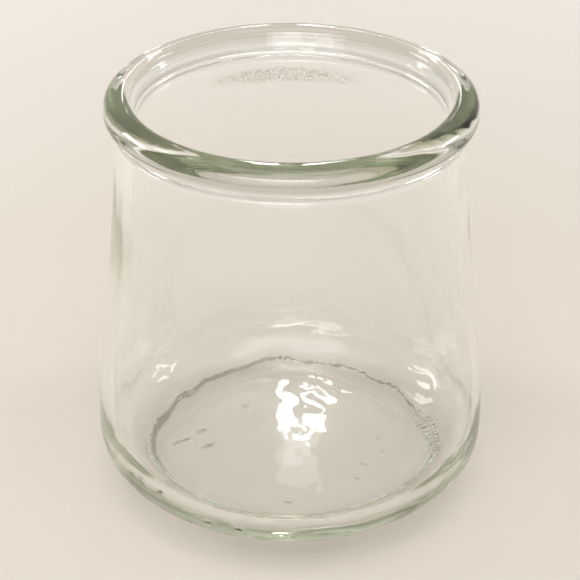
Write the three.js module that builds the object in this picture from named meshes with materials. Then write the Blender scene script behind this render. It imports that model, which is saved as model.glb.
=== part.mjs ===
// Small glass yogurt pot: one thick-walled piece of clear pressed glass, open at
// the top, with a round bead at the mouth, a slightly drawn-in neck, a belly that
// widens towards the base, a rounded heel and a pushed-up underside.
//
// Units are millimetres, +Z is up, and the origin is the centre of the resting
// plane. The whole piece is a body of revolution about Z.

import * as THREE from 'three';

// ---- driving sizes -------------------------------------------------------

const HEIGHT = 74.0;            // resting plane to the crest of the rim

// underside
const PUSH_UP = 0.9;            // height of the shallow hollow under the centre
const REST_INNER_R = 23.0;      // flat resting ring, inner radius
const REST_OUTER_R = 25.0;      // flat resting ring, outer radius

// heel and belly, outside
const HEEL_SLOPE_DEG = 34;      // the heel leaves the resting ring at this slope
const HEEL_PULL = 12.6;         // how far it keeps that slope
const BELLY_R = 34.55;          // widest radius of the pot
const BELLY_Z = 13.5;
const BELLY_PULL_DOWN = 5.5;    // how far the belly runs straight down
const BELLY_PULL_UP = 6.0;      // and straight up
const NECK_R = 29.15;           // outside radius just under the bead
const NECK_PULL = 24.0;
const NECK_LEAN = 0.056;        // radius lost per mm of height at the neck

// bead at the mouth, outside
const BEAD_R = 31.0;            // widest radius of the bead
const BEAD_DROP = 3.1;          // from the crest down to the widest circle
const BEAD_BASE_DROP = 5.6;     // from the crest down to the crease with the neck
const BEAD_UPPER_POWER = 2.6;   // 2 is an ellipse, more is flatter on top
const BEAD_LOWER_POWER = 1.4;   // flatter than round under the bead
const CREST_R = 28.2;           // radius of the rim's highest circle

// mouth, inside
const LIP_R = 26.5;             // inner edge of the rim
const LIP_DROP = 0.9;           // from the crest down to the leaning mouth wall
const MOUTH_R = 25.8;           // lower edge of the leaning mouth wall
const MOUTH_DROP = 3.5;
const WAIST_R = 25.6;           // narrowest circle of the inside
const WAIST_DROP = 4.7;
const WAIST_PULL = 0.6;         // how far the inside runs straight down from it
const THROAT_DEPTH = 15.0;      // where the inside has opened out to the neck wall
const THROAT_PULL = 3.0;

// inside
const NECK_WALL = 2.15;         // inside radius there, below NECK_R
const BELLY_WALL = 2.5;         // wall at the belly
const FLOOR_Z = 4.8;            // inside floor at its edge
const FLOOR_DOME = 0.5;         // how much higher it is at the centre
const FLOOR_R = 25.0;           // radius of that edge, where the inside heel starts
const INNER_SLOPE_DEG = 14;     // the inside heel leaves the floor at this slope
const INNER_PULL = 5.0;         // how far it keeps that slope
const INNER_TOP_Z = 14.3;       // where the inside wall is upright
const INNER_PULL_DOWN = 5.0;

const SEGMENTS = 64;            // facets round the pot

// ---- profile -------------------------------------------------------------

// A quarter of a superellipse from (r0, z0), where it is level, to (r1, z1),
// where it is upright.
function quarter(r0, z0, r1, z1, power, count) {
  const points = [];
  for (let i = 0; i <= count; i++) {
    const a = (i / count) * Math.PI / 2;
    const s = Math.sin(a) ** (2 / power);
    const c = Math.cos(a) ** (2 / power);
    points.push(new THREE.Vector2(r0 + (r1 - r0) * s, z1 + (z0 - z1) * c));
  }
  return points;
}

// A smooth curve from one point to another, pulled along a direction at each end.
function sweep(from, pullFrom, to, pullTo, count) {
  const start = new THREE.Vector2(...from);
  const end = new THREE.Vector2(...to);
  const curve = new THREE.CubicBezierCurve(
    start,
    start.clone().add(new THREE.Vector2(...pullFrom)),
    end.clone().add(new THREE.Vector2(...pullTo)),
    end,
  );
  return curve.getSpacedPoints(count);
}

// Adds a run of points and leaves out a first point that is already there.
function append(profile, points) {
  for (const p of points) {
    const last = profile[profile.length - 1];
    if (!last || last.distanceTo(p) > 0.02) profile.push(p);
  }
}

// A level-centred dome from the axis to its edge, rise above the edge.
function dome(edgeR, edgeZ, rise, count) {
  const points = [];
  for (let i = 0; i <= count; i++) {
    const r = (i / count) * edgeR;
    points.push(new THREE.Vector2(r, edgeZ + rise * (1 - (r / edgeR) ** 2)));
  }
  return points;
}

function underside() {
  const points = dome(REST_INNER_R, 0, PUSH_UP, 4);
  points.push(new THREE.Vector2(REST_OUTER_R, 0));
  return points;
}

function outside() {
  const neckZ = HEIGHT - BEAD_BASE_DROP;
  const beadZ = HEIGHT - BEAD_DROP;
  const slope = THREE.MathUtils.degToRad(HEEL_SLOPE_DEG);
  const points = [];
  append(points, sweep(
    [REST_OUTER_R, 0],
    [HEEL_PULL * Math.cos(slope), HEEL_PULL * Math.sin(slope)],
    [BELLY_R, BELLY_Z],
    [0, -BELLY_PULL_DOWN],
    8,
  ));
  append(points, sweep(
    [BELLY_R, BELLY_Z],
    [0, BELLY_PULL_UP],
    [NECK_R, neckZ],
    [NECK_LEAN * NECK_PULL, -NECK_PULL],
    9,
  ));
  append(points, quarter(NECK_R, neckZ, BEAD_R, beadZ, BEAD_LOWER_POWER, 4));
  append(points, quarter(CREST_R, HEIGHT, BEAD_R, beadZ, BEAD_UPPER_POWER, 6).reverse());
  return points;
}

function inside() {
  const throatZ = HEIGHT - THROAT_DEPTH;
  const slope = THREE.MathUtils.degToRad(INNER_SLOPE_DEG);
  const bellyR = BELLY_R - BELLY_WALL;
  const points = [];
  append(points, quarter(CREST_R, HEIGHT, LIP_R, HEIGHT - LIP_DROP, 2, 4));
  append(points, [new THREE.Vector2(MOUTH_R, HEIGHT - MOUTH_DROP)]);
  append(points, sweep(
    [WAIST_R, HEIGHT - WAIST_DROP],
    [0, -WAIST_PULL],
    [NECK_R - NECK_WALL, throatZ],
    [-NECK_LEAN * THROAT_PULL, THROAT_PULL],
    4,
  ));
  append(points, sweep(
    [NECK_R - NECK_WALL, throatZ],
    [NECK_LEAN * NECK_PULL, -NECK_PULL],
    [bellyR, INNER_TOP_Z],
    [0, BELLY_PULL_UP],
    8,
  ));
  append(points, sweep(
    [FLOOR_R, FLOOR_Z],
    [INNER_PULL * Math.cos(slope), INNER_PULL * Math.sin(slope)],
    [bellyR, INNER_TOP_Z],
    [0, -INNER_PULL_DOWN],
    7,
  ).reverse());
  append(points, dome(FLOOR_R, FLOOR_Z, FLOOR_DOME, 4).reverse());
  return points;
}

const profile = [];
append(profile, underside());
append(profile, outside());
append(profile, inside());

// ---- the pot -------------------------------------------------------------

const geometry = new THREE.LatheGeometry(profile, SEGMENTS);
geometry.rotateX(Math.PI / 2);  // spun about Y, stood up along Z

const glass = new THREE.MeshStandardMaterial({
  color: new THREE.Color(0.86, 0.90, 0.84),
  roughness: 0.04,
  metalness: 0.0,
  transparent: true,
  opacity: 0.35,
});

const jar = new THREE.Mesh(geometry, glass);
jar.name = 'jar';

const pot = new THREE.Group();
pot.name = 'glass_yogurt_pot';
pot.add(jar);

export default pot;
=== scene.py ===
# Look of the small glass yogurt pot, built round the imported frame. Metres, +Z up.
import math

import bpy
import numpy as np
from mathutils import Matrix, Vector


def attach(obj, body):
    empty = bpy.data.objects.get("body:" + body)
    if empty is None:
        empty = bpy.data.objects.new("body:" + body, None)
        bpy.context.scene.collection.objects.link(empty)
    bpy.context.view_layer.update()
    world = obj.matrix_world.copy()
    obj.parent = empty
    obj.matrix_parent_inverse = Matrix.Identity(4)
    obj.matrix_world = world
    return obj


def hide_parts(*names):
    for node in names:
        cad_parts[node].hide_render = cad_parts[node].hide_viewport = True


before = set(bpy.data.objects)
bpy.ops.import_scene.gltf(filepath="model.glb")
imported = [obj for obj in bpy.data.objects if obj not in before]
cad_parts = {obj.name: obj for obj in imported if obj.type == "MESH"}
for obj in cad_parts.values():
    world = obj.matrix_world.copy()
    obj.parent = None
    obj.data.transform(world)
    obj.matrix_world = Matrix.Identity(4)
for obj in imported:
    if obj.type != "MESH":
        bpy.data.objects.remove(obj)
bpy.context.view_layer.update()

MM = 0.001

# ---- sizes in millimetres, as the solid has them ---------------------------

HEIGHT = 74.0
PUSH_UP = 0.9
REST_INNER_R = 23.0
REST_OUTER_R = 25.0
HEEL_SLOPE_DEG = 34.0
HEEL_PULL = 12.6
BELLY_R = 34.55
BELLY_Z = 13.5
BELLY_PULL_DOWN = 5.5
BELLY_PULL_UP = 6.0
NECK_R = 29.15
NECK_PULL = 24.0
NECK_LEAN = 0.056
BEAD_R = 31.0
BEAD_DROP = 3.1
BEAD_BASE_DROP = 5.6
BEAD_UPPER_POWER = 2.6
BEAD_LOWER_POWER = 1.4
CREST_R = 28.2
LIP_R = 26.5
LIP_DROP = 0.9
MOUTH_R = 25.8
MOUTH_DROP = 3.5
WAIST_R = 25.6
WAIST_DROP = 4.7
WAIST_PULL = 0.6
THROAT_DEPTH = 15.0
THROAT_PULL = 3.0
NECK_WALL = 2.15
BELLY_WALL = 2.5
FLOOR_Z = 4.8
FLOOR_DOME = 0.5
FLOOR_R = 25.0
INNER_SLOPE_DEG = 14.0
INNER_PULL = 5.0
INNER_TOP_Z = 14.3
INNER_PULL_DOWN = 5.0

# fine relief, only in the look
RIDGES = 144                # short radial ridges just outside the resting ring
RIDGE_DEPTH = 0.16
RIDGE_R0, RIDGE_R1 = 25.3, 27.9
CAVITY_SHIFT = 0.4          # the inside sits a little off the axis below the mouth

AROUND = 288                # points round the pot
FINE = 3                    # and this many times more on the ridged band


# ---- profile ----------------------------------------------------------------

def quarter(r0, z0, r1, z1, power, count):
    """Quarter of a superellipse, level at (r0, z0) and upright at (r1, z1)."""
    a = np.linspace(0, math.pi / 2, count + 1)
    s = np.sin(a) ** (2 / power)
    c = np.clip(np.cos(a), 0, 1) ** (2 / power)
    return np.stack([r0 + (r1 - r0) * s, z1 + (z0 - z1) * c], 1)


def run_length(q):
    return np.concatenate([[0], np.cumsum(np.linalg.norm(np.diff(q, axis=0), axis=1))])


def even(q, count):
    """The same line with count + 1 evenly spaced points."""
    d = run_length(q)
    s = np.linspace(0, d[-1], count + 1)
    return np.stack([np.interp(s, d, q[:, 0]), np.interp(s, d, q[:, 1])], 1)


def spaced(q, stops):
    """The same line with even spacing of stops[i][1] up to length stops[i][0]."""
    d = run_length(q)
    marks, at = [0.0], 0.0
    for upto, step in stops:
        upto = min(upto, d[-1])
        n = max(1, int(round((upto - at) / step)))
        marks += list(at + (upto - at) * np.arange(1, n + 1) / n)
        at = upto
    s = np.array(marks)
    return np.stack([np.interp(s, d, q[:, 0]), np.interp(s, d, q[:, 1])], 1)


def sweep(p0, pull0, p1, pull1, count=900):
    """Cubic curve between two points, pulled at each end."""
    p0, p1 = np.array(p0, float), np.array(p1, float)
    a, b = p0 + np.array(pull0, float), p1 + np.array(pull1, float)
    t = np.linspace(0, 1, count)[:, None]
    return (1 - t) ** 3 * p0 + 3 * (1 - t) ** 2 * t * a + 3 * (1 - t) * t * t * b + t ** 3 * p1


def line(p0, p1, count):
    t = np.linspace(0, 1, count + 1)[:, None]
    return np.array(p0, float) * (1 - t) + np.array(p1, float) * t


def soften(q, radius):
    """Rounds the corners of a line over about radius, ends kept."""
    d = run_length(q)
    n = 8
    fine = np.linspace(0, d[-1], int(d[-1] / (radius / n)) + 2)
    f = np.stack([np.interp(fine, d, q[:, 0]), np.interp(fine, d, q[:, 1])], 1)
    k = np.hanning(2 * n + 3)[1:-1]
    k /= k.sum()
    lead = f[0] + (f[0] - f[1]) * np.arange(n, 0, -1)[:, None]
    tail = f[-1] + (f[-1] - f[-2]) * np.arange(1, n + 1)[:, None]
    pad = np.concatenate([lead, f, tail])
    return np.stack([np.convolve(pad[:, i], k, "valid") for i in (0, 1)], 1)


slope = math.radians(HEEL_SLOPE_DEG)
in_slope = math.radians(INNER_SLOPE_DEG)
neck_z = HEIGHT - BEAD_BASE_DROP
bead_z = HEIGHT - BEAD_DROP
throat_z = HEIGHT - THROAT_DEPTH
inner_belly = BELLY_R - BELLY_WALL

# the outside, from the centre of the underside up to the crest
r = np.linspace(0, REST_INNER_R, 60)[:, None]
under = np.concatenate([
    np.concatenate([r, PUSH_UP * (1 - (r / REST_INNER_R) ** 2)], 1),
])
heel = sweep((REST_OUTER_R, 0), (HEEL_PULL * math.cos(slope), HEEL_PULL * math.sin(slope)),
             (BELLY_R, BELLY_Z), (0, -BELLY_PULL_DOWN))
body = sweep((BELLY_R, BELLY_Z), (0, BELLY_PULL_UP), (NECK_R, neck_z),
             (NECK_LEAN * NECK_PULL, -NECK_PULL))
bead = np.concatenate([
    quarter(NECK_R, neck_z, BEAD_R, bead_z, BEAD_LOWER_POWER, 200),
    quarter(CREST_R, HEIGHT, BEAD_R, bead_z, BEAD_UPPER_POWER, 200)[::-1][1:],
])

# the inside, from the crest down to the centre of the floor
lip = quarter(CREST_R, HEIGHT, LIP_R, HEIGHT - LIP_DROP, 2, 60)
mouth = soften(np.concatenate([
    line((LIP_R, HEIGHT - LIP_DROP), (MOUTH_R, HEIGHT - MOUTH_DROP), 60),
    line((MOUTH_R, HEIGHT - MOUTH_DROP), (WAIST_R, HEIGHT - WAIST_DROP), 30)[1:],
    sweep((WAIST_R, HEIGHT - WAIST_DROP), (0, -WAIST_PULL), (NECK_R - NECK_WALL, throat_z),
          (-NECK_LEAN * THROAT_PULL, THROAT_PULL))[1:],
]), 0.14)
wall = sweep((NECK_R - NECK_WALL, throat_z), (NECK_LEAN * NECK_PULL, -NECK_PULL),
             (inner_belly, INNER_TOP_Z), (0, BELLY_PULL_UP))
turn = sweep((FLOOR_R, FLOOR_Z), (INNER_PULL * math.cos(in_slope), INNER_PULL * math.sin(in_slope)),
             (inner_belly, INNER_TOP_Z), (0, -INNER_PULL_DOWN))[::-1]
r = np.linspace(FLOOR_R, 0, 60)[:, None]
bed = np.concatenate([r, FLOOR_Z + FLOOR_DOME * (1 - (r / FLOOR_R) ** 2)], 1)

# (name, points, rows per zone, points round it)
zones = [
    ("under", spaced(under[::-1], [(12.0, 0.5), (99, 0.9)])[::-1], 1),
    ("ring", line((REST_INNER_R, 0), (REST_OUTER_R, 0), 4), 1),
    ("ridges", spaced(heel, [(3.5, 0.29)])[:13], FINE),
    ("heel", spaced(heel, [(3.5, 0.29), (99, 0.55)])[13:], 1),
    ("body", spaced(body, [(99, 1.7)]), 1),
    ("bead", spaced(bead, [(1.0, 0.12), (99, 0.26)]), 1),
    ("lip", even(lip, 8), 1),
    ("mouth", spaced(mouth, [(2.3, 0.38), (3.1, 0.13), (3.6, 0.2), (4.4, 0.13), (9.0, 0.36), (99, 0.9)]), 1),
    ("wall", spaced(wall, [(25.0, 1.6), (99, 0.85)]), 1),
    ("turn", spaced(turn, [(run_length(turn)[-1] - 1.5, 0.5), (99, 0.17)]), 1),
    ("bed", spaced(bed, [(1.0, 0.17), (7.0, 0.6), (99, 0.95)]), 1),
]
rows = []
for name, pts, fine in zones:
    for q in pts:
        if rows and math.hypot(q[0] - rows[-1][1], q[1] - rows[-1][2]) < 0.04:
            continue
        if q[0] > 0.3:
            rows.append((name, float(q[0]), float(q[1]), fine))
zone = np.array([q[0] for q in rows])
RZ = np.array([[q[1], q[2]] for q in rows])
fine_of = np.array([q[3] for q in rows])

# outward direction of the surface at each row, in the plane of the profile
along = np.gradient(RZ, axis=0)
along /= np.linalg.norm(along, axis=1)[:, None]
out_way = np.stack([along[:, 1], -along[:, 0]], 1)
ring_row = zone == "ring"
out_way[ring_row] = (0.0, -1.0)
length = run_length(RZ)


# ---- relief -----------------------------------------------------------------

def waves(seed, around, up, count=28):
    """Smooth noise of angle and height with unit spread, closed round the pot.

    around and up give the lowest and highest number of waves, round the pot and
    per 100 mm of height."""
    g = np.random.default_rng(seed)
    k = g.integers(around[0], around[1] + 1, count)
    m = g.uniform(up[0], up[1], count) * 2 * math.pi / 100 * g.choice((-1, 1), count)
    ph = g.uniform(0, 2 * math.pi, count)
    gain = math.sqrt(2 / count)

    def field(th, s):
        out = 0
        for a, b, c in zip(k, m, ph):
            out = out + np.cos(a * th + b * s + c)
        return gain * out
    return field


def hump(x, centre, half):
    """1 at the centre, falling to nothing at centre +- half."""
    t = np.clip(np.abs(x - centre) / half, 0, 1)
    return (1 + np.cos(math.pi * t)) / 2


def turned(th, deg):
    """Angle from deg in degrees, between -180 and 180."""
    return (np.degrees(th) - deg + 180) % 360 - 180


def plate(x, lo, hi, soft):
    """1 between lo and hi with smooth sides."""
    a = np.clip((x - lo) / soft + 0.5, 0, 1)
    b = np.clip((hi - x) / soft + 0.5, 0, 1)
    return a * a * (3 - 2 * a) * b * b * (3 - 2 * b)


slow_out = waves(3, (2, 9), (0, 5))
slow_in = waves(5, (3, 14), (0, 9))
drag_in = waves(8, (18, 46), (0, 4))
chill = waves(11, (8, 26), (18, 34))
chill_fine = waves(13, (24, 70), (30, 60))
crinkle = waves(17, (30, 110), (50, 110), 46)
crinkle_big = waves(19, (14, 40), (20, 50))
rim_sag = waves(23, (2, 5), (0, 0))
ridge_gain = np.random.default_rng(29).uniform(0.45, 1.0, RIDGES)
ring_edge = waves(31, (14, 90), (0, 0), 40)
bead_wave = waves(47, (9, 34), (0, 30))


def flat_waves(seed, lo, hi, count=30):
    """Smooth noise over the flat of the base, wavelengths lo to hi millimetres."""
    g = np.random.default_rng(seed)
    a = g.uniform(0, math.pi, count)
    f = 2 * math.pi / g.uniform(lo, hi, count)
    ph = g.uniform(0, 2 * math.pi, count)
    gain = math.sqrt(2 / count)

    def field(x, y):
        out = 0
        for aa, ff, pp in zip(a, f, ph):
            out = out + np.cos(ff * (x * math.cos(aa) + y * math.sin(aa)) + pp)
        return gain * out
    return field


bed_slow = flat_waves(37, 7.0, 15.0)
bed_fast = flat_waves(41, 2.2, 5.0)
under_slow = flat_waves(43, 5.0, 12.0)

# small plain bars and dots pressed into the underside, darkened in the glass
# colour further down as painted shade: x, y, half length, half width, turn in
# degrees, depth
MARKS = [
    (-20.4, 2.2, 2.0, 0.36, 41, 0.22), (-16.8, 5.4, 1.3, 0.38, 34, 0.24),
    (-15.2, 0.4, 1.3, 0.36, 40, 0.22),
    (15.8, 3.2, 0.9, 0.32, -50, 0.12), (16.6, -1.2, 0.8, 0.32, 50, 0.12),
    (12.8, -5.4, 0.9, 0.32, -30, 0.14), (11.6, -10.2, 0.8, 0.34, -40, 0.18),
    (-9.2, 13.6, 0.9, 0.32, -12, 0.12), (-0.5, -18.6, 0.75, 0.36, 0, 0.28),
]

# small pits on the outer heel, painted nearly black in the glass colour further
# down as painted shade: angle, height, half length, half width, depth
PITS = [
    (-141.0, 11.8, 0.50, 0.34, 0.24), (-137.2, 12.0, 0.62, 0.36, 0.26),
    (-129.3, 11.6, 0.75, 0.38, 0.26), (-113.6, 8.7, 0.85, 0.46, 0.28),
    (-104.5, 8.6, 0.85, 0.46, 0.28), (-150.5, 12.4, 0.45, 0.32, 0.14),
    (-120.0, 9.4, 0.45, 0.34, 0.12),
]

# small lumps on the inside wall: angle, height, half size, height of the lump
LUMPS = [
    (129.2, 8.8, 0.55, 0.06), (112.7, 8.4, 0.65, 0.07), (62.2, 64.3, 0.40, -0.07),
    (97.3, 49.2, 0.55, 0.05), (93.0, 50.0, 0.5, 0.05), (90.0, 48.0, 0.5, -0.05),
    (94.5, 47.4, 0.5, 0.05), (87.1, 47.6, 0.55, 0.05), (79.1, 48.1, 0.5, 0.06),
    (152.0, 33.0, 0.5, 0.05), (-38.0, 21.0, 0.5, 0.05),
]


def relief(i, th):
    """Radius, height and offset along X of row i at the angles th."""
    name, (r0, z0), n, s = zone[i], RZ[i], out_way[i], length[i]
    d = np.zeros_like(th)
    x, y = r0 * np.cos(th), r0 * np.sin(th)
    slide = 0.0
    if name in ("heel", "body", "bead"):
        d += 0.012 * np.clip(slow_out(th, s), -2.2, 2.2) - 0.027
    if name in ("bead", "lip"):
        d += 0.004 * np.clip(bead_wave(th, s), -2.2, 2.2) - 0.009
    if name == "heel":
        for a, zc, hl, hw, dep in PITS:
            u = np.radians(turned(th, a)) * r0
            q = (u / hl) ** 2 + ((z0 - zc) / hw / 1.2) ** 2
            d -= dep * np.exp(-q * 1.2)
    if name == "ridges":
        ridge = (1 + np.cos(RIDGES * th)) / 2
        pick = ridge_gain[np.round(th / (2 * math.pi) * RIDGES).astype(int) % RIDGES]
        lo = RIDGE_R0 + 0.12 * ring_edge(th, 0)
        worn = 0.12 + 0.88 * hump(turned(th, -12), 0, 72) + 0.45 * hump(turned(th, 188), 0, 45)
        d -= RIDGE_DEPTH * worn * pick * ridge * plate(r0, lo, RIDGE_R1, 0.7)
    if name == "under":
        edge = plate(r0, -9, REST_INNER_R - 1.0, 1.6)
        d -= (0.010 * under_slow(x, y)) * edge
        for mx, my, hl, hw, deg, dep in MARKS:
            c, q = math.cos(math.radians(deg)), math.sin(math.radians(deg))
            u, v = (x - mx) * c + (y - my) * q, -(x - mx) * q + (y - my) * c
            d -= dep * np.exp(-((np.abs(u) / hl) ** 4 + (v / hw) ** 2))
    if name in ("lip", "mouth"):
        # small steps where the parts of the mould meet
        d += 0.07 * (hump(z0, 70.9, 0.45) + hump(z0, 69.4, 0.40)) * (1 + 0.25 * np.clip(rim_sag(th + 2, 0), -2, 2))
        d += 0.005 * bead_wave(th, s) * hump(z0, 71.5, 3.5)
    if name in ("wall", "turn", "mouth"):
        fade = np.clip((HEIGHT - WAIST_DROP - z0) / 8.0, 0, 1)
        d += 0.22 * hump(z0, 60.5, 9.0)      # the throat is a little thicker in the look
        d += fade * (0.022 * slow_in(th, s) + 0.007 * drag_in(th, s * 0.4))
        low = hump(z0, 10.0, 9.0)
        right, left = hump(turned(th, 32), 0, 48), hump(turned(th, 148), 0, 42)
        far_side = hump(turned(th, 78), 0, 30)
        d += low * (0.058 * right + 0.052 * left + 0.040 * far_side + 0.008) * chill(th, s)
        d += low * (0.042 * right + 0.036 * left + 0.016 * far_side) * chill_fine(th, s)
        d += hump(z0, 16.0, 7.0) * far_side * (0.055 * chill(th, s) + 0.034 * chill_fine(th, s))
        patch = hump(z0, 65.3, 2.6) * hump(turned(th, 93), 0, 36)
        d += patch * (0.085 * crinkle(th, s) + 0.050 * crinkle_big(th, s))
        for a, zc, h, dep in LUMPS:
            u = np.radians(turned(th, a)) * r0
            d += dep * np.exp(-((u / h) ** 2 + ((z0 - zc) / h) ** 2) * 1.5)
    if name == "bed":
        d += 0.0055 * bed_slow(x, y) + 0.0022 * bed_fast(x, y)
    if name in ("turn", "bed"):
        # the crinkled bead round the edge of the floor
        heavy = 0.16 + 0.26 * hump(turned(th, 140), 0, 75) + 0.16 * hump(turned(th, 60), 0, 60)
        heavy = heavy * (1 - 0.95 * hump(turned(th, -90), 0, 70))
        edge = FLOOR_R + 0.68 + 0.04 * ring_edge(th, 0)
        d += heavy * (1 + 0.22 * ring_edge(th + 1.0, 0)) * hump(r0, edge, 0.65)
    if name in ("mouth", "wall", "turn", "bed"):
        slide = CAVITY_SHIFT * float(np.clip((throat_z - 1.0 - z0) / 16.0, 0, 1))
    rr, zz = r0 + n[0] * d, z0 + n[1] * d
    if name in ("bead", "lip", "mouth"):
        near = np.clip((z0 - (neck_z - 1.0)) / 4.0, 0, 1)
        zz = zz - near * (0.035 + 0.016 * np.clip(rim_sag(th, 0), -2, 2))
    return rr * np.cos(th) + slide, rr * np.sin(th), np.broadcast_to(zz, th.shape)


verts, starts, counts = [], [], []
for i in range(len(RZ)):
    n = AROUND * int(fine_of[i])
    th = np.arange(n) * 2 * math.pi / n
    px, py, pz = relief(i, th)
    starts.append(sum(counts))
    counts.append(n)
    verts.append(np.stack([px, py, pz], 1))
total = sum(counts)
verts = np.concatenate(verts + [np.array([[0, 0, PUSH_UP], [CAVITY_SHIFT, 0, FLOOR_Z + FLOOR_DOME]])])

faces = []
for i in range(len(RZ) - 1):
    a, b, na, nb = starts[i], starts[i + 1], counts[i], counts[i + 1]
    if na == nb:
        j = np.arange(na)
        k = (j + 1) % na
        faces += np.stack([a + j, a + k, b + k, b + j], 1).tolist()
    else:
        # one step of the coarse ring against FINE steps of the fine one
        up = nb > na
        n = min(na, nb)
        for j in range(n):
            c0, c1 = j, (j + 1) % n
            f = [(FINE * j + q) % (n * FINE) for q in range(FINE + 1)]
            if up:
                tri = [(a + c0, b + f[1], b + f[0]), (a + c0, a + c1, b + f[1]),
                       (a + c1, b + f[2], b + f[1]), (a + c1, b + f[3], b + f[2])]
            else:
                tri = [(b + c0, a + f[0], a + f[1]), (b + c0, a + f[1], b + c1),
                       (b + c1, a + f[1], a + f[2]), (b + c1, a + f[2], a + f[3])]
            faces += tri
n0, n1 = counts[0], counts[-1]
faces += [(total, (q + 1) % n0, q) for q in range(n0)]
faces += [(total + 1, starts[-1] + q, starts[-1] + (q + 1) % n1) for q in range(n1)]

mesh = bpy.data.meshes.new("jar_glass")
mesh.from_pydata((verts * MM).tolist(), [], faces)
mesh.validate()
mesh.shade_smooth()
jar = bpy.data.objects.new("jar_glass", mesh)
bpy.context.scene.collection.objects.link(jar)
print("rows", len(RZ), "triangles", sum(len(f) - 2 for f in faces))

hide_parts("jar")
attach(jar, "root")


# ---- material ---------------------------------------------------------------

def node(tree, kind, **sockets):
    n = tree.nodes.new(kind)
    for key, value in sockets.items():
        n.inputs[key.replace("_", " ")].default_value = value
    return n


def math_node(tree, op, a, b=None, clamp=False):
    n = tree.nodes.new("ShaderNodeMath")
    n.operation = op
    n.use_clamp = clamp
    for socket, value in ((0, a), (1, b)):
        if value is None:
            continue
        if isinstance(value, (int, float)):
            n.inputs[socket].default_value = value
        else:
            tree.links.new(value, n.inputs[socket])
    return n.outputs[0]


glass = bpy.data.materials.new("pressed_glass")
glass.use_nodes = True
nt = glass.node_tree
p = nt.nodes["Principled BSDF"]
p.inputs["Base Color"].default_value = (1, 1, 1, 1)
p.inputs["Roughness"].default_value = 0.0
p.inputs["IOR"].default_value = 1.52
p.inputs["Transmission Weight"].default_value = 1.0
va = nt.nodes.new("ShaderNodeVolumeAbsorption")
va.inputs["Color"].default_value = (0.60, 0.64, 0.49, 1)
va.inputs["Density"].default_value = 20.0
nt.links.new(va.outputs[0], nt.nodes["Material Output"].inputs["Volume"])

# the skin of pressed glass: very faint orange peel all over, and fine crinkles
# in a patch under the back of the rim
coord = nt.nodes.new("ShaderNodeTexCoord")
skin = node(nt, "ShaderNodeTexNoise", Scale=420.0, Detail=2.0, Roughness=0.5)
nt.links.new(coord.outputs["Object"], skin.inputs["Vector"])
squash = nt.nodes.new("ShaderNodeMapping")
squash.inputs["Scale"].default_value = (1.0, 1.0, 2.6)
nt.links.new(coord.outputs["Object"], squash.inputs["Vector"])
grain = node(nt, "ShaderNodeTexNoise", Scale=760.0, Detail=3.0, Roughness=0.6, Distortion=0.8)
nt.links.new(squash.outputs[0], grain.inputs["Vector"])
place = nt.nodes.new("ShaderNodeSeparateXYZ")
nt.links.new(coord.outputs["Object"], place.inputs[0])
up = math_node(nt, "ABSOLUTE", math_node(nt, "SUBTRACT", place.outputs["Z"], 0.0652))
up = math_node(nt, "SUBTRACT", 1.0, math_node(nt, "DIVIDE", up, 0.0017), clamp=True)
side = math_node(nt, "ABSOLUTE", math_node(nt, "ADD", place.outputs["X"], 0.0012))
side = math_node(nt, "SUBTRACT", 1.0, math_node(nt, "DIVIDE", side, 0.0145), clamp=True)
back = math_node(nt, "GREATER_THAN", place.outputs["Y"], 0.0)
far = math_node(nt, "ADD", math_node(nt, "MULTIPLY", place.outputs["X"], place.outputs["X"]),
                math_node(nt, "MULTIPLY", place.outputs["Y"], place.outputs["Y"]))
inner_side = math_node(nt, "LESS_THAN", far, 0.0281 ** 2)
mask = math_node(nt, "MULTIPLY", math_node(nt, "MULTIPLY", up, side),
                 math_node(nt, "MULTIPLY", back, inner_side))
tall = math_node(nt, "ADD", math_node(nt, "MULTIPLY", skin.outputs["Fac"], 0.004),
                 math_node(nt, "MULTIPLY", math_node(nt, "MULTIPLY", grain.outputs["Fac"], 0.30), mask))
bump = nt.nodes.new("ShaderNodeBump")
bump.inputs["Strength"].default_value = 1.0
bump.inputs["Distance"].default_value = 0.001
nt.links.new(tall, bump.inputs["Height"])
nt.links.new(bump.outputs[0], p.inputs["Normal"])

# painted shade: the glass colour is darkened in a crinkled line along the sharp
# corner round the floor, thick at the left and back and gone at the front, standing
# in for the shade that corner shows through the glass
turned_x = math_node(nt, "SUBTRACT", place.outputs["X"], CAVITY_SHIFT * MM)
reach = math_node(nt, "SQRT", math_node(nt, "ADD",
                                        math_node(nt, "MULTIPLY", turned_x, turned_x),
                                        math_node(nt, "MULTIPLY", place.outputs["Y"], place.outputs["Y"])))


def towards(deg):
    """Cosine of the angle between the point's side of the pot and deg."""
    a = math.radians(deg)
    along_it = math_node(nt, "ADD", math_node(nt, "MULTIPLY", turned_x, math.cos(a)),
                         math_node(nt, "MULTIPLY", place.outputs["Y"], math.sin(a)))
    return math_node(nt, "DIVIDE", along_it, math_node(nt, "MAXIMUM", reach, 0.001))


ragged = node(nt, "ShaderNodeTexNoise", Scale=1500.0, Detail=2.0, Roughness=0.6)
nt.links.new(coord.outputs["Object"], ragged.inputs["Vector"])
edge_at = math_node(nt, "ADD", math_node(nt, "MULTIPLY", ragged.outputs["Fac"], 0.0011), 0.02480)
off = math_node(nt, "ABSOLUTE", math_node(nt, "SUBTRACT", reach, edge_at))
heavy_side = math_node(nt, "DIVIDE", math_node(nt, "SUBTRACT", towards(150), 0.55), 0.35, clamp=True)
half = math_node(nt, "ADD", math_node(nt, "MULTIPLY", heavy_side, 0.00030), 0.00018)
floor_edge_shade = math_node(nt, "DIVIDE", math_node(nt, "SUBTRACT", half, off), 0.00010, clamp=True)
not_front = math_node(nt, "MULTIPLY", math_node(nt, "ADD", towards(112), 0.28), 2.5, clamp=True)
inside_only = math_node(nt, "GREATER_THAN", place.outputs["Z"], 0.0040)
low_only = math_node(nt, "LESS_THAN", place.outputs["Z"], 0.0064)
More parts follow.
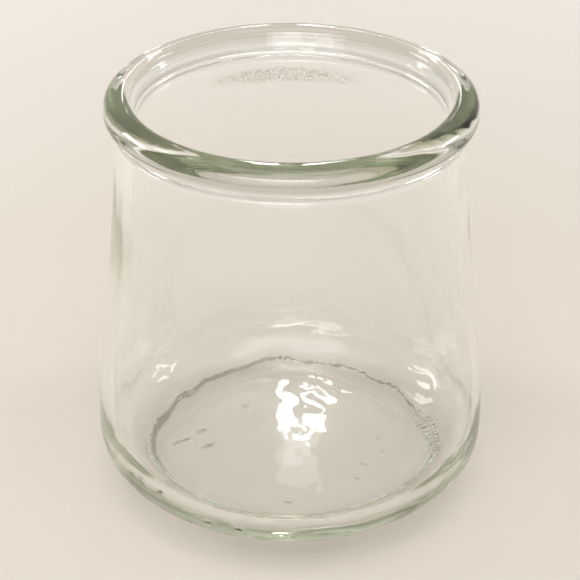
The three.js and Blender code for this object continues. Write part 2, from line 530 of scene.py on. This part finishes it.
dark = math_node(nt, "MULTIPLY", math_node(nt, "MULTIPLY", floor_edge_shade, not_front),
                 math_node(nt, "MULTIPLY", inside_only, low_only))


def spot(at, deg, size, soft=0.35):
    """Mask of an egg shape at a point in millimetres, turned by deg about Z."""
    m = nt.nodes.new("ShaderNodeMapping")
    m.vector_type = "TEXTURE"
    m.inputs["Location"].default_value = [q * MM for q in at]
    m.inputs["Rotation"].default_value = (0, 0, math.radians(deg))
    m.inputs["Scale"].default_value = [q * MM for q in size]
    nt.links.new(coord.outputs["Object"], m.inputs["Vector"])
    reached = nt.nodes.new("ShaderNodeVectorMath")
    reached.operation = "LENGTH"
    nt.links.new(m.outputs[0], reached.inputs[0])
    return math_node(nt, "DIVIDE", math_node(nt, "SUBTRACT", 1.0, reached.outputs["Value"]), soft, clamp=True)


# painted shade: the pits in the heel are painted nearly black in the glass colour
heel_rows = zone == "heel"
pit_shade = math_node(nt, "MULTIPLY", place.outputs["Z"], 0.0)
for a, zc, hl, hw, dep in PITS:
    here = float(np.interp(zc, RZ[heel_rows, 1], RZ[heel_rows, 0]))
    at = (here * math.cos(math.radians(a)), here * math.sin(math.radians(a)), zc)
    pit_shade = math_node(nt, "MAXIMUM", pit_shade, spot(at, a + 90, (hl * 0.95, 0.8, hw * 0.85)))
# painted shade: the pressed marks on the underside are darkened in the glass colour
for mx, my, hl, hw, deg, dep in MARKS:
    seen = spot((mx, my, 0.3), deg, (hl * 1.15, hw * 0.85, 2.5))
    dark = math_node(nt, "MAXIMUM", dark, math_node(nt, "MULTIPLY", seen, min(0.75, dep * 3.4)))

# painted shade: dark lines drawn in the glass colour along the crinkles in the
# patch under the back of the rim
curl = node(nt, "ShaderNodeTexNoise", Scale=800.0, Detail=2.0, Roughness=0.55, Distortion=1.6)
nt.links.new(squash.outputs[0], curl.inputs["Vector"])
crinkle_shade = math_node(nt, "ABSOLUTE", math_node(nt, "SUBTRACT", curl.outputs["Fac"], 0.5))
crinkle_shade = math_node(nt, "SUBTRACT", 1.0, math_node(nt, "DIVIDE", crinkle_shade, 0.085), clamp=True)
crinkle_shade = math_node(nt, "MULTIPLY", crinkle_shade, math_node(nt, "MULTIPLY", mask, 3.2, clamp=True))
dark = math_node(nt, "MAXIMUM", dark, math_node(nt, "MULTIPLY", crinkle_shade, 0.9))

# painted shade: faint dark lines in the glass colour inside the mouth, at the
# steps where the parts of the mould meet, standing in for the shade those edges show
mouth_side = math_node(nt, "LESS_THAN", far, 0.0267 ** 2)
for height, wide, much in ((72.65, 0.16, 0.34), (71.45, 0.45, 0.22), (70.35, 0.14, 0.46), (69.25, 0.16, 0.50)):
    mouth_line_shade = math_node(nt, "ABSOLUTE", math_node(nt, "SUBTRACT", place.outputs["Z"], height * MM))
    mouth_line_shade = math_node(nt, "SUBTRACT", 1.0, math_node(nt, "DIVIDE", mouth_line_shade, wide * MM), clamp=True)
    mouth_line_shade = math_node(nt, "MULTIPLY", math_node(nt, "MULTIPLY", mouth_line_shade, mouth_side), much)
    dark = math_node(nt, "MAXIMUM", dark, mouth_line_shade)

# painted shade: the glass colour is darkened round the bead's widest circle,
# standing in for the dark band that runs along the rim
bead_shade = math_node(nt, "SUBTRACT", 1.0, math_node(nt, "DIVIDE", math_node(nt, "ABSOLUTE", math_node(
    nt, "SUBTRACT", place.outputs["Z"], 0.0709)), 0.0014), clamp=True)
bead_shade = math_node(nt, "MULTIPLY", math_node(nt, "MULTIPLY", bead_shade, 1.8, clamp=True),
                 math_node(nt, "GREATER_THAN", far, 0.0293 ** 2))
dark = math_node(nt, "MAXIMUM", dark, math_node(nt, "MULTIPLY", bead_shade, 0.45))

# painted shade: the masks above darken the glass colour towards olive, the heel pits towards black
shade_mix = nt.nodes.new("ShaderNodeMix")
shade_mix.data_type = "RGBA"
shade_mix.inputs["A"].default_value = (1, 1, 1, 1)
shade_mix.inputs["B"].default_value = (0.24, 0.25, 0.19, 1)
nt.links.new(dark, shade_mix.inputs["Factor"])
pit_shade_mix = nt.nodes.new("ShaderNodeMix")
pit_shade_mix.data_type = "RGBA"
nt.links.new(shade_mix.outputs["Result"], pit_shade_mix.inputs["A"])
pit_shade_mix.inputs["B"].default_value = (0.02, 0.02, 0.015, 1)
nt.links.new(pit_shade, pit_shade_mix.inputs["Factor"])
nt.links.new(pit_shade_mix.outputs["Result"], p.inputs["Base Color"])
jar.data.materials.append(glass)

# ---- floor ------------------------------------------------------------------

def floor_piece():
    n = 96
    base = -0.00012
    # flat in the middle, turned up all round like a studio sweep
    prof = [(0.0, 0.0)]
    prof += [(0.25 + 0.55 * s / 8, 0.0) for s in range(9)]
    for s in range(1, 17):
        a = s / 16 * math.radians(62)
        prof.append((0.80 + 0.55 * math.sin(a), 0.55 * (1 - math.cos(a))))
    vs, fs = [(0, 0, base)], []
    for r, z in prof[1:]:
        for a in range(n):
            vs.append((r * math.cos(2 * math.pi * a / n), r * math.sin(2 * math.pi * a / n), z + base))
    for a in range(n):
        fs.append((0, 1 + a, 1 + (a + 1) % n))
    for q in range(len(prof) - 2):
        for a in range(n):
            b = (a + 1) % n
            fs.append((1 + q * n + a, 1 + (q + 1) * n + a, 1 + (q + 1) * n + b, 1 + q * n + b))
    me = bpy.data.meshes.new("floor")
    me.from_pydata(vs, [], fs)
    me.shade_smooth()
    ob = bpy.data.objects.new("floor", me)
    bpy.context.scene.collection.objects.link(ob)
    mat = bpy.data.materials.new("floor_paper")
    mat.use_nodes = True
    tree = mat.node_tree
    b = tree.nodes["Principled BSDF"]
    # a little lighter away from the pot, and a painted pool of light right under it,
    # standing in for the light that reaches the floor through the glass base
    c = tree.nodes.new("ShaderNodeTexCoord")
    far = tree.nodes.new("ShaderNodeVectorMath")
    far.operation = "LENGTH"
    tree.links.new(c.outputs["Object"], far.inputs[0])
    tone = tree.nodes.new("ShaderNodeValToRGB")
    under_pot_light = tone.color_ramp.elements.new(0.022)
    under_pot_light.color = (0.97, 0.91, 0.825, 1)
    tone.color_ramp.elements[0].color = (0.97, 0.91, 0.825, 1)
    near = tone.color_ramp.elements.new(0.027)
    near.color = (0.715, 0.66, 0.595, 1)
    near = tone.color_ramp.elements.new(0.10)
    near.color = (0.715, 0.66, 0.595, 1)
    tone.color_ramp.elements[-1].position = 0.26
    tone.color_ramp.elements[-1].color = (0.82, 0.785, 0.735, 1)
    tree.links.new(far.outputs["Value"], tone.inputs[0])
    tree.links.new(tone.outputs[0], b.inputs["Base Color"])
    b.inputs["Roughness"].default_value = 0.9
    b.inputs["Specular IOR Level"].default_value = 0.1
    ob.data.materials.append(mat)
    return ob


floor_piece()

# ---- light ------------------------------------------------------------------

def panel(name, az, el, dist, w, h, radiance, color=(1, 1, 1), aim=(0, 0, 0.04), tall=None):
    """A panel at azimuth az (0 is the front, 90 the right side) and elevation el."""
    d = bpy.data.lights.new(name, "AREA")
    d.shape = "RECTANGLE"
    d.size, d.size_y = w, h
    d.energy = radiance * math.pi * w * h
    d.color = color
    o = bpy.data.objects.new(name, d)
    a, e = math.radians(az), math.radians(el)
    way = Vector((math.sin(a) * math.cos(e), -math.cos(a) * math.cos(e), math.sin(e)))
    o.location = Vector(aim) + way * dist
    o.rotation_mode = "QUATERNION"
    o.rotation_quaternion = way.to_track_quat("Z", "Y")
    bpy.context.scene.collection.objects.link(o)
    o.visible_camera = False
    return o


for part, (az, wide, high, much) in enumerate(((-4, 0.28, 0.07, 3.2), (-8, 0.46, 0.11, 1.95), (-11, 0.64, 0.15, 1.95))):
    panel("window_high_%d" % part, az, 17.0, 0.56 + 0.01 * part, wide, high, much)
panel("window_low", -3, 2.5, 0.80, 0.44, 0.16, 1.7)
panel("top_soft", 0, 76.0, 0.90, 0.80, 0.60, 1.45)
panel("side_left", 255, 18.0, 0.70, 0.24, 0.18, 9.0)
panel("side_right", 105, 18.0, 0.70, 0.20, 0.16, 7.5)
panel("pane_back_left", 180 + 1.50, 27.3, 1.0, 0.019, 0.184, 10.0)
panel("pane_back_right", 180 - 1.20, 27.3, 1.0, 0.025, 0.184, 10.0)
panel("pane_back_dim", 180 + 0.2, 35.4, 1.0, 0.045, 0.11, 1.5)

world = bpy.data.worlds.new("studio")
bpy.context.scene.world = world
world.use_nodes = True
wn = world.node_tree
bg = wn.nodes["Background"]
tc = wn.nodes.new("ShaderNodeTexCoord")
sep = wn.nodes.new("ShaderNodeSeparateXYZ")
ramp = wn.nodes.new("ShaderNodeValToRGB")
wn.links.new(tc.outputs["Generated"], sep.inputs[0])
wn.links.new(sep.outputs["Z"], ramp.inputs[0])
wn.links.new(ramp.outputs[0], bg.inputs["Color"])
ramp.color_ramp.elements[0].position = 0.60
ramp.color_ramp.elements[0].color = (0.50, 0.475, 0.44, 1)
ramp.color_ramp.elements[1].position = 0.90
ramp.color_ramp.elements[1].color = (1.0, 0.99, 0.96, 1)
bg.inputs["Strength"].default_value = 0.97

# ---- camera -----------------------------------------------------------------

F_PX, CAM_Y, CAM_Z, PITCH, ROLL, PX = 1687.2, -255.0, 185.68, 0.53202, 0.00444, 290.63
cam_data = bpy.data.cameras.new("camera")
cam_data.sensor_width = 36.0
cam_data.lens = F_PX / 580 * 36.0
cam_data.shift_x = -(PX - 290.0) / 580
cam = bpy.data.objects.new("camera", cam_data)
cam.rotation_mode = "XYZ"
cam.matrix_world = (Matrix.Translation((0, CAM_Y * MM, CAM_Z * MM))
                    @ Matrix.Rotation(math.pi / 2 - PITCH, 4, "X")
                    @ Matrix.Rotation(ROLL, 4, "Z"))
cam_data.clip_start = 0.01
cam_data.clip_end = 20
bpy.context.scene.collection.objects.link(cam)
bpy.context.scene.camera = cam

sc = bpy.context.scene
sc.view_settings.view_transform = "Standard"
sc.cycles.max_bounces = 34
sc.cycles.transmission_bounces = 34
sc.cycles.glossy_bounces = 34
sc.cycles.diffuse_bounces = 3
sc.cycles.use_denoising = True
sc.cycles.caustics_refractive = True
sc.cycles.caustics_reflective = True
sc.cycles.blur_glossy = 0.3
sc.cycles.sample_clamp_indirect = 8.0
